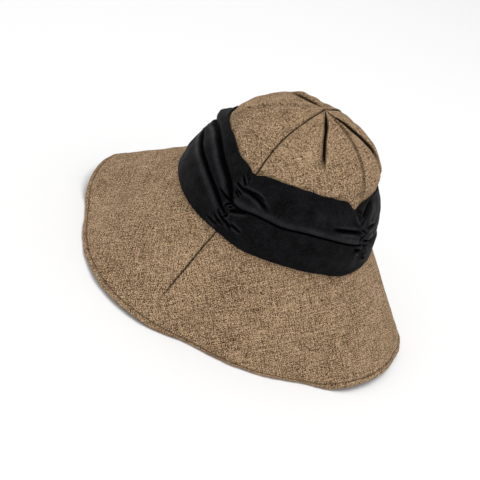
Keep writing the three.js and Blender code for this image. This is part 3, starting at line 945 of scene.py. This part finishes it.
def cloth_wall(
    point, bearings, levels, bulge=0, inside_step=1, closed=False, pointed=False, both_edges=False
):
    """A closed cloth wall, as a column of points round its section at each bearing. point
    gives a spot's place from its bearing, level and depth, and the shade painted on it.
    A closed wall goes all the way round, and a pointed one's columns meet at the top."""
    levels = np.broadcast_to(levels, (len(bearings), levels.shape[-1]))
    along, depth = section(levels, bulge, both_edges, inside_step)
    grid, shade = point(bearings[:, None], along, depth)
    columns, rows = along.shape
    spots = np.arange(columns * rows).reshape(columns, rows)
    index = spots.copy()
    if closed:
        index[-1] = index[0]
    if pointed:
        index[:, 0] = index[0, 0]
        index[:, -1] = index[0, -1]
    pairs = np.stack([index, spots], axis=-1)
    last = rows - 1 if pointed else rows
    following = np.roll(pairs, -1, axis=1)
    quads = np.stack([pairs[:-1], following[:-1], following[1:], pairs[1:]], axis=2)
    faces = list(quads[:, :last].reshape(-1, 4, 2))
    if not closed:
        faces.extend([pairs[0, ::-1], pairs[-1]])
    return Wall(along, grid, shade, faces)


def make_mesh(name, points, shade, cloth, faces):
    """A mesh object in metres from points in millimetres, with the shade painted on each
    and its spot on the flat cloth. A face is a loop of pairs, the numbers of a point and of
    its spot on the cloth, which differ where a wall closes on itself."""
    points = (points.reshape(-1, 3) + HAT_PLACE) * MM
    used = np.unique(np.concatenate([face[:, 0] for face in faces]))
    place = np.zeros(len(points), int)
    place[used] = np.arange(len(used))
    loops = []
    corners = []
    for face in faces:
        around_it = dict(face)
        loops.append([place[vertex] for vertex in around_it])
        corners.extend(around_it.values())
    mesh = bpy.data.meshes.new(name)
    mesh.from_pydata(points[used], [], loops)
    painted_shading = mesh.attributes.new(name=PAINTED_SHADING, type="FLOAT", domain="POINT")
    painted_shading.data.foreach_set("value", shade.ravel()[used].astype(np.float32))
    uv = mesh.uv_layers.new(name=CLOTH_MAP)
    uv.data.foreach_set("uv", (cloth.reshape(-1, 2)[corners] * MM).ravel())
    mesh.validate()
    if signed_volume(mesh) < 0:
        mesh.flip_normals()
    mesh.shade_smooth()
    mesh.set_sharp_from_angle(angle=np.radians(SHARP_ANGLE))
    made = bpy.data.objects.new(name, mesh)
    bpy.context.collection.objects.link(made)
    return made


def signed_volume(mesh):
    mesh.calc_loop_triangles()
    points = np.empty(len(mesh.vertices) * 3)
    mesh.vertices.foreach_get("co", points)
    points = points.reshape(-1, 3)
    corners = np.empty(len(mesh.loop_triangles) * 3, int)
    mesh.loop_triangles.foreach_get("vertices", corners)
    a, b, c = points[corners.reshape(-1, 3)].transpose(1, 0, 2)
    return np.einsum("ij,ij->", a, np.cross(b, c))


def walked(grid, axis):
    """How far it is along the cloth to each point of a grid, from the first one."""
    steps = np.linalg.norm(np.diff(grid, axis=axis), axis=-1)
    return np.cumsum(np.insert(steps, 0, 0, axis=axis), axis=axis)


def on_cut(down, grid):
    """A wall's spots on its cut, at a distance down from the point that the cut is drawn
    round. The grain runs straight down its middle."""
    across = walked(grid, 0)
    turn = (across - across[len(across) // 2]) / np.maximum(down, CUT_CLEAR)
    return np.stack([down * np.sin(turn), down * np.cos(turn)], axis=-1)


def on_strip(bearings, grid):
    """A wall's spots on a cut that is one long strip."""
    length = SEAM_RADIUS * np.radians(bearings[:, None])
    return np.stack(np.broadcast_arrays(length, walked(grid, 1)), axis=-1)


def cloth_group(name, numbers, outputs):
    """An empty shader node group that takes a place on the cloth and some numbers and puts
    out others, with the sockets inside it that give and take them."""
    tree = bpy.data.node_groups.new(name, "ShaderNodeTree")
    tree.interface.new_socket("Cloth place", in_out="INPUT", socket_type="NodeSocketVector")
    for label in numbers:
        tree.interface.new_socket(label, in_out="INPUT", socket_type="NodeSocketFloat")
    for label in outputs:
        tree.interface.new_socket(label, in_out="OUTPUT", socket_type="NodeSocketFloat")
    given = tree.nodes.new("NodeGroupInput")
    made = tree.nodes.new("NodeGroupOutput")
    return tree, given.outputs, made.inputs


def join(tree, value, socket):
    """Sets a socket to a plain value, or links another socket to it."""
    if isinstance(value, bpy.types.NodeSocket):
        tree.links.new(value, socket)
    else:
        socket.default_value = value


def maths(tree, operation, *values, clamp=False):
    made = tree.nodes.new("ShaderNodeMath")
    made.operation = operation
    made.use_clamp = clamp
    for value, socket in zip(values, made.inputs):
        join(tree, value, socket)
    return made.outputs[0]


def vectors(tree, operation, first, second):
    made = tree.nodes.new("ShaderNodeVectorMath")
    made.operation = operation
    join(tree, first, made.inputs[0])
    join(tree, second, made.inputs["Scale" if operation == "SCALE" else 1])
    return made.outputs[0]


def combine(tree, x, y, z):
    made = tree.nodes.new("ShaderNodeCombineXYZ")
    for value, socket in zip((x, y, z), made.inputs):
        join(tree, value, socket)
    return made.outputs[0]


def noise(tree, place, grain, output="Fac"):
    made = tree.nodes.new("ShaderNodeTexNoise")
    tree.links.new(place, made.inputs["Vector"])
    made.inputs["Scale"].default_value = grain.scale
    made.inputs["Detail"].default_value = grain.detail
    made.inputs["Roughness"].default_value = grain.roughness
    return made.outputs[output]


def both_ways(tree, place, stretches):
    """Two noises, each drawn out along one way of the threads."""
    drawn = [vectors(tree, "MULTIPLY", place, times) for times in stretches]
    return [noise(tree, way, STREAK_GRAIN) for way in drawn]


def between(tree, mix, share, first, second):
    """Two numbers or colours mixed, from the first at a share of 0 to the second at 1."""
    kind, takes, gives = mix
    made = tree.nodes.new("ShaderNodeMix")
    made.data_type = kind
    for value, number in zip((share, first, second), takes):
        join(tree, value, made.inputs[number])
    return made.outputs[gives]


def tint(tree, colour, share, other):
    return between(tree, COLOUR_MIX, share, colour, other)


def stretch(tree, value, low, high):
    """Maps low to 0 and high to 1, and cuts off what is outside."""
    made = tree.nodes.new("ShaderNodeMapRange")
    for number, entry in enumerate((value, low, high, 0, 1)):
        join(tree, entry, made.inputs[number])
    return made.outputs[0]


def add_shares(tree, level, *shares):
    """A level with patterns added to it, each times its share."""
    for pattern, share in shares:
        level = maths(tree, "MULTIPLY_ADD", pattern, share, level)
    return level


def one_way_of_threads(tree, across, along, slub, seed):
    """Threads that lie side by side: each one's roundness, and its own changing tone."""
    wave = maths(tree, "SINE", maths(tree, "MULTIPLY", across, np.pi))
    number = maths(tree, "FLOOR", across)
    tone_across = maths(tree, "MULTIPLY_ADD", number, TONE_STEP, TONE_START)
    tone_along = maths(tree, "DIVIDE", along, slub)
    return wave, noise(tree, combine(tree, tone_across, tone_along, seed), THREAD_GRAIN)


def woven_threads():
    """A plain weave of uneven threads. The cloth's place is in metres on the flat cloth."""
    tree, given, made = cloth_group(
        "Woven threads", ["Thread pitch", "Slub length", "Looseness"], ["Tone", "Height", "Streak"]
    )
    rate = maths(tree, "DIVIDE", 1, given["Thread pitch"])
    place = vectors(tree, "SCALE", given["Cloth place"], rate)
    stray = vectors(tree, "SUBTRACT", noise(tree, place, STRAY_GRAIN, "Color"), NOISE_MIDDLE)
    reach = maths(tree, "MULTIPLY", given["Looseness"], STRAY_REACH)
    apart = tree.nodes.new("ShaderNodeSeparateXYZ")
    tree.links.new(vectors(tree, "ADD", place, vectors(tree, "SCALE", stray, reach)), apart.inputs[0])
    x, y, _ = apart.outputs
    warp, warp_tone = one_way_of_threads(tree, x, y, given["Slub length"], WARP_SEED)
    weft, weft_tone = one_way_of_threads(tree, y, x, given["Slub length"], WEFT_SEED)
    crossing = maths(tree, "MULTIPLY", warp, weft)
    over = maths(tree, "MULTIPLY_ADD", crossing, OVER_SHARPNESS, 1 / 2, clamp=True)
    tone = between(tree, NUMBER_MIX, over, warp_tone, weft_tone)
    mound = maths(tree, "SQRT", maths(tree, "ABSOLUTE", crossing))
    thick = maths(tree, "MULTIPLY_ADD", tone, THREAD_SWELL, THREAD_LOW)
    streak = maths(tree, "ADD", *both_ways(tree, place, STREAKS))
    tree.links.new(maths(tree, "SUBTRACT", streak, 1), made["Streak"])
    tree.links.new(tone, made["Tone"])
    tree.links.new(maths(tree, "MULTIPLY", mound, thick), made["Height"])
    return tree


def stray_fibres():
    """Fine fuzz on a cloth, and a few stray pale fibres."""
    tree, given, made = cloth_group("Stray fibres", ["Fibres"], ["Fuzz", "Pale fibre"])
    place = given["Cloth place"]
    fibre = maths(tree, "MAXIMUM", *both_ways(tree, place, FIBRES))
    high = maths(tree, "ADD", given["Fibres"], FIBRE_EDGE)
    tree.links.new(noise(tree, place, FUZZ_GRAIN), made["Fuzz"])
    tree.links.new(stretch(tree, fibre, given["Fibres"], high), made["Pale fibre"])
    return tree


def use_group(tree, kind, **values):
    """Places a shader group in a material, with its own values."""
    made = tree.nodes.new("ShaderNodeGroup")
    made.node_tree = kind
    for name, value in values.items():
        join(tree, value, made.inputs[name.replace("_", " ").capitalize()])
    return made.outputs


def new_material(name, roughness, specular, sheen, sheen_roughness):
    """A material with one Principled shader, and its tree and shader."""
    material = bpy.data.materials.new(name)
    material.use_nodes = True
    tree = material.node_tree
    shader = tree.nodes["Principled BSDF"]
    shader.inputs["Roughness"].default_value = roughness
    shader.inputs["Specular IOR Level"].default_value = specular
    shader.inputs["Sheen Weight"].default_value = sheen
    shader.inputs["Sheen Roughness"].default_value = sheen_roughness
    return material, tree, shader


def cloth_place(tree):
    made = tree.nodes.new("ShaderNodeUVMap")
    made.uv_map = CLOTH_MAP
    return made.outputs[0]


def painted_shading_node(tree):
    """The shade painted on the cloth, up to 1, and below 0 the highlight painted on a ridge."""
    made = tree.nodes.new("ShaderNodeAttribute")
    made.attribute_name = PAINTED_SHADING
    return made.outputs["Fac"]


def bump(tree, height, strength, distance):
    made = tree.nodes.new("ShaderNodeBump")
    made.inputs["Strength"].default_value = strength
    made.inputs["Distance"].default_value = distance
    tree.links.new(height, made.inputs["Height"])
    return made.outputs[0]


def heathered_linen(threads, fibres):
    """Brown linen of light and dark yarns, matt, with shade painted in its folds, seams and
    the hem's groove, and in the low spots of its weave.
    """
    material, tree, shader = new_material(
        "heathered_linen", roughness=0.95, specular=0.06, sheen=0.01, sheen_roughness=0.6
    )
    place = cloth_place(tree)
    weave = use_group(tree, threads, cloth_place=place, **LINEN_WEAVE)
    lint = use_group(tree, fibres, cloth_place=place, fibres=LINEN_FIBRES)
    tone = add_shares(
        tree,
        LINEN_LEVEL,
        (weave["Tone"], LINEN_SHARES["threads"]),
        (noise(tree, place, SPECK_GRAIN), LINEN_SHARES["specks"]),
        (noise(tree, place, CLOUD_GRAIN), LINEN_SHARES["clouds"]),
        (weave["Streak"], LINEN_SHARES["streaks"]),
    )
    colour = tint(tree, LINEN_DARK, stretch(tree, tone, *LINEN_MID_TONES), LINEN_MID)
    colour = tint(tree, colour, stretch(tree, tone, *LINEN_LIGHT_TONES), LINEN_LIGHT)
    pale = maths(tree, "MULTIPLY", lint["Pale fibre"], FIBRE_SHARE)
    colour = tint(tree, colour, pale, LINEN_LIGHT)
    # Painted shade in the low spots of the weave.
    pit = maths(tree, "MULTIPLY", stretch(tree, weave["Height"], *LINEN_PITS), LINEN_PIT_SHARE)
    colour = tint(tree, colour, pit, LINEN_DARK)
    # Painted shade in the folds, seams and the hem's groove.
    painted_shading = maths(tree, "MULTIPLY", painted_shading_node(tree), LINEN_PAINTED_SHADE_SHARE)
    tree.links.new(tint(tree, colour, painted_shading, LINEN_PAINTED_SHADE), shader.inputs["Base Color"])
    height = add_shares(tree, weave["Height"], (lint["Fuzz"], LINEN_FUZZ))
    tree.links.new(bump(tree, height, **LINEN_BUMP), shader.inputs["Normal"])
    return material


def hem_thread():
    """Brown sewing thread, with small changes of tone along it."""
    material, tree, shader = new_material(
        "hem_thread", roughness=0.8, specular=0.15, sheen=0.02, sheen_roughness=0.5
    )
    place = tree.nodes.new("ShaderNodeTexCoord").outputs["Object"]
    tone = stretch(tree, noise(tree, place, SEWING_GRAIN), *SEWING_TONES)
    tree.links.new(tint(tree, LINEN_DARK, tone, THREAD_BROWN), shader.inputs["Base Color"])
    return material


def black_cloth(threads, fibres):
    """Black cotton, finely woven, with a highlight painted on its ridges and shade painted in
    its folds.
    """
    material, tree, shader = new_material(
        "black_cloth", roughness=0.5, specular=0.045, sheen=0, sheen_roughness=0.35
    )
    place = cloth_place(tree)
    painted_shading = painted_shading_node(tree)
    weave = use_group(tree, threads, cloth_place=place, **BAND_WEAVE)
    lint = use_group(tree, fibres, cloth_place=place, fibres=BAND_FIBRES)
    mottle = add_shares(tree, noise(tree, place, MOTTLE_GRAIN), (weave["Tone"], BAND_THREADS))
    colour = tint(tree, BAND_BLACK, stretch(tree, mottle, *BAND_TONES), BAND_GREY)
    pale = maths(tree, "MULTIPLY", lint["Pale fibre"], FIBRE_SHARE)
    colour = tint(tree, colour, pale, BAND_LINT)
    # Painted highlight on the ridges, stronger where the mottle is lighter.
    ridge = stretch(tree, painted_shading, *PAINTED_HIGHLIGHT_RANGE)
    lit = maths(tree, "MULTIPLY", ridge, stretch(tree, mottle, *PAINTED_HIGHLIGHT_TONES))
    colour = tint(tree, colour, lit, BAND_PAINTED_HIGHLIGHT)
    # Painted shade in the folds.
    colour = tint(tree, colour, stretch(tree, painted_shading, *PAINTED_SHADE_RANGE), BAND_PAINTED_SHADE)
    tree.links.new(colour, shader.inputs["Base Color"])
    tree.links.new(stretch(tree, painted_shading, *ROUGH_DEPTHS), shader.inputs["Roughness"])
    height = add_shares(tree, weave["Height"], (lint["Fuzz"], BAND_FUZZ))
    tree.links.new(bump(tree, height, **BAND_BUMP), shader.inputs["Normal"])
    return material


def finish_piece(piece, material, nodes=()):
    piece.data.materials.append(material)
    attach(piece, "root")
    if nodes:
        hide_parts(*nodes)


def crown_half(side, start, material):
    ends = [start, start + HALF_TURN]
    fine = ends + [pleat.low for pleat in CROWN_PLEATS]
    bearings = stations(*ends, CROWN_STEP, fine, FINE_STEP, FINE_REACH)
    levels = SEAM_DOWN * np.linspace(0, 1, CROWN_ROWS) ** CROWN_ROWS_POWER
    wall = cloth_wall(crown_point, bearings, levels, inside_step=CROWN_INSIDE_STEP, pointed=True)
    cloth = on_cut(wall.along, wall.grid)
    piece = make_mesh(f"crown_{side}_linen", wall.grid, wall.shade, cloth, wall.faces)
    finish_piece(piece, material, [f"crown_{side}"])
    return piece


def brim_levels():
    """Shares of the brim's width, close together at the hem's line of stitches."""
    walk = np.linspace(0, 1, BRIM_WALK + 1)
    near = hollow((1 - walk) * mean_of("width") - HEM_WIDTH, HEM_WIDTH / 2)
    count = np.concatenate([[0], np.cumsum(1 + HEM_CLOSENESS * near[1:])])
    return np.interp(np.linspace(0, count[-1], BRIM_ROWS), count, walk)


def brim_half(side, start, material):
    ends = [start, start + HALF_TURN]
    bearings = stations(*ends, BRIM_STEP, ends, FINE_STEP, FINE_REACH)
    bulge = BRIM_WALL / 2 / mean_of("width")
    wall = cloth_wall(brim_point, bearings, brim_levels() * (1 - bulge), bulge)
    inner = SEAM_RADIUS / np.cos(np.radians(mean_of("droop")))
    cloth = on_cut(inner + wall.along * mean_of("width"), wall.grid)
    piece = make_mesh(f"brim_{side}_linen", wall.grid, wall.shade, cloth, wall.faces)
    finish_piece(piece, material, [f"brim_{side}"])
    return piece


def band_levels(bearings, bulge):
    """Shares of the band's height at each bearing, close together at the folds."""
    walk = np.linspace(bulge, 1 - bulge, BAND_WALK)
    column = bearings[:, None]
    bottom = band_bottom_height(column)
    height = bottom + walk * (band_top_height(column) - bottom)
    density = np.ones(height.shape)
    for fold in BAND_FOLDS:
        above, ends, _ = fold_place(fold, column, height)
        crisp_place = fold.above if fold.above < fold.below else -fold.below
        density = density + FOLD_CLOSENESS * ends * hollow(above - crisp_place, FOLD_FINE_WIDTH)
    count = np.cumsum(density, axis=1)
    count = (count - count[:, :1]) / (count[:, -1:] - count[:, :1])
    even = np.linspace(0, 1, BAND_ROWS)
    return np.array([np.interp(even, row, walk) for row in count])


def band_strip(material):
    fine = [gather.bottom for gather in NEAR_GATHERS] + [gather.top for gather in NEAR_GATHERS]
    bearings = stations(0, FULL_TURN, BAND_STEP, fine, BAND_FINE_STEP, BAND_FINE_REACH)
    bulge = BAND_WALL / 2 / mean_of("band_top")
    wall = cloth_wall(
        band_point,
        bearings,
        band_levels(bearings, bulge),
        bulge,
        inside_step=BAND_INSIDE_STEP,
        closed=True,
        both_edges=True,
    )
    cloth = on_strip(bearings, wall.grid)
    piece = make_mesh("band_cloth", wall.grid, wall.shade, cloth, wall.faces)
    finish_piece(piece, material, ["band"])
    return piece


def hem_line(bearing, depth):
    """The points along the middle of the hem's groove, on one face of the brim."""
    share = 1 - HEM_WIDTH / around("width", bearing)
    return brim_point(bearing, share, depth)[0]


def stitch_bearings():
    """The bearings of the points along each stitch, with the stitches evenly apart."""
    walk = np.linspace(0, FULL_TURN, STITCH_WALK + 1)
    length = walked(hem_line(walk, 0), 0)
    count = int(round(length[-1] / STITCH_PITCH))
    middle = (np.arange(count) + 0.5) * length[-1] / count
    along = np.linspace(-STITCH_LENGTH / 2, STITCH_LENGTH / 2, STITCH_STEPS + 1)
    return np.interp(middle[:, None] + along, length, walk)


def unit(arrows):
    return arrows / np.linalg.norm(arrows, axis=-1, keepdims=True)


def stitch_rings():
    """Rings of points along each stitch, which arches up from the bottom of the groove."""
    bearing = stitch_bearings()
    arch = np.sin(np.linspace(0, np.pi, STITCH_STEPS + 1))[:, None]
    turn = np.linspace(0, 2 * np.pi, STITCH_SIDES, endpoint=False)[:, None]
    rings = []
    for depth in (0, 1):
        line = hem_line(bearing, depth)
        outward = unit(line - hem_line(bearing, 1 - depth))
        sideways = unit(np.cross(np.gradient(line, axis=1), outward))
        line = line + (STITCH_RISE * arch - STITCH_SUNK) * outward
        around_it = np.cos(turn) * outward[:, :, None] + np.sin(turn) * sideways[:, :, None]
        rings.append(line[:, :, None] + STITCH_RADIUS * around_it)
    rings = np.concatenate(rings)
    rings[..., 2] = np.maximum(rings[..., 2], FLOOR)
    return rings


def hem_stitches(material):
    """One mesh of short threads, closed at both ends."""
    rings = stitch_rings()
    spots = rings.shape[:3]
    index = np.arange(np.prod(spots)).reshape(spots)
    following = np.roll(index, -1, axis=2)
    quads = np.stack([index[:, :-1], following[:, :-1], following[:, 1:], index[:, 1:]], axis=-1)
    ends = np.concatenate([index[:, 0, ::-1], index[:, -1]])
    loops = list(quads.reshape(-1, 4)) + list(ends)
    faces = [np.stack([loop, loop], axis=-1) for loop in loops]
    piece = make_mesh("hem_stitches", rings, np.zeros(spots), np.zeros((*spots, 2)), faces)
    finish_piece(piece, material)


def stand_camera():
    """Sets up the camera, and returns which way is right, up and back as it sees them."""
    elevation = radians(CAMERA_ELEVATION)
    bearing = radians(CAMERA_BEARING)
    roll = radians(CAMERA_ROLL)
    facing = Vector((cos(bearing), sin(bearing), 0))
    back = cos(elevation) * facing + sin(elevation) * Vector((0, 0, 1))
    level = Vector((-sin(bearing), cos(bearing), 0))
    upright = back.cross(level)
    right = cos(roll) * level + sin(roll) * upright
    up = cos(roll) * upright - sin(roll) * level
    hat = Vector(HAT_PLACE)
    place = hat + back * CAMERA_DISTANCE
    aim = hat + right * AIM_RIGHT + up * AIM_UP
    back = (place - aim).normalized()
    right = up.cross(back).normalized()
    up = back.cross(right)
    data = bpy.data.cameras.new("photo_camera")
    data.lens = CAMERA_LENS
    data.sensor_width = CAMERA_SENSOR
    camera = bpy.data.objects.new("photo_camera", data)
    turned = Matrix((right, up, back)).transposed().to_4x4()
    camera.matrix_world = Matrix.Translation(place * MM) @ turned
    bpy.context.collection.objects.link(camera)
    bpy.context.scene.camera = camera
    return right, up, back


def light_scene(right, up, back):
    hat = Vector(HAT_PLACE) * MM
    for softbox in SOFTBOXES:
        data = bpy.data.lights.new(softbox.name, "AREA")
        data.size = softbox.size
        data.energy = softbox.watts
        lamp = bpy.data.objects.new(softbox.name, data)
        place = hat + right * softbox.right + up * softbox.up + back * softbox.back
        lamp.location = place
        lamp.rotation_euler = (hat - place).to_track_quat("-Z", "Y").to_euler()
        bpy.context.collection.objects.link(lamp)
    world = bpy.data.worlds.new("room")
    world.use_nodes = True
    background = world.node_tree.nodes["Background"]
    background.inputs["Color"].default_value = WHITE
    background.inputs["Strength"].default_value = ROOM_LIGHT
    bpy.context.scene.world = world
    bpy.context.scene.view_settings.view_transform = "Standard"


def lay_floor():
    half = FLOOR_SIZE / 2
    corners = [(-half, -half, 0), (half, -half, 0), (half, half, 0), (-half, half, 0)]
    mesh = bpy.data.meshes.new("floor")
    mesh.from_pydata(corners, [], [(0, 1, 2, 3)])
    material, _, shader = new_material(
        "pale_floor", roughness=0.9, specular=0.2, sheen=0, sheen_roughness=0.5
    )
    shader.inputs["Base Color"].default_value = FLOOR_WHITE
    mesh.materials.append(material)
    floor = bpy.data.objects.new("floor", mesh)
    bpy.context.collection.objects.link(floor)


threads = woven_threads()
fibres = stray_fibres()
linen = heathered_linen(threads, fibres)
black = black_cloth(threads, fibres)
hem_stitches(hem_thread())
for side, start in (("back", 0), ("front", HALF_TURN)):
    crown = crown_half(side, start, linen)
    brim = brim_half(side, start, linen)
band = band_strip(black)

lay_floor()
light_scene(*stand_camera())
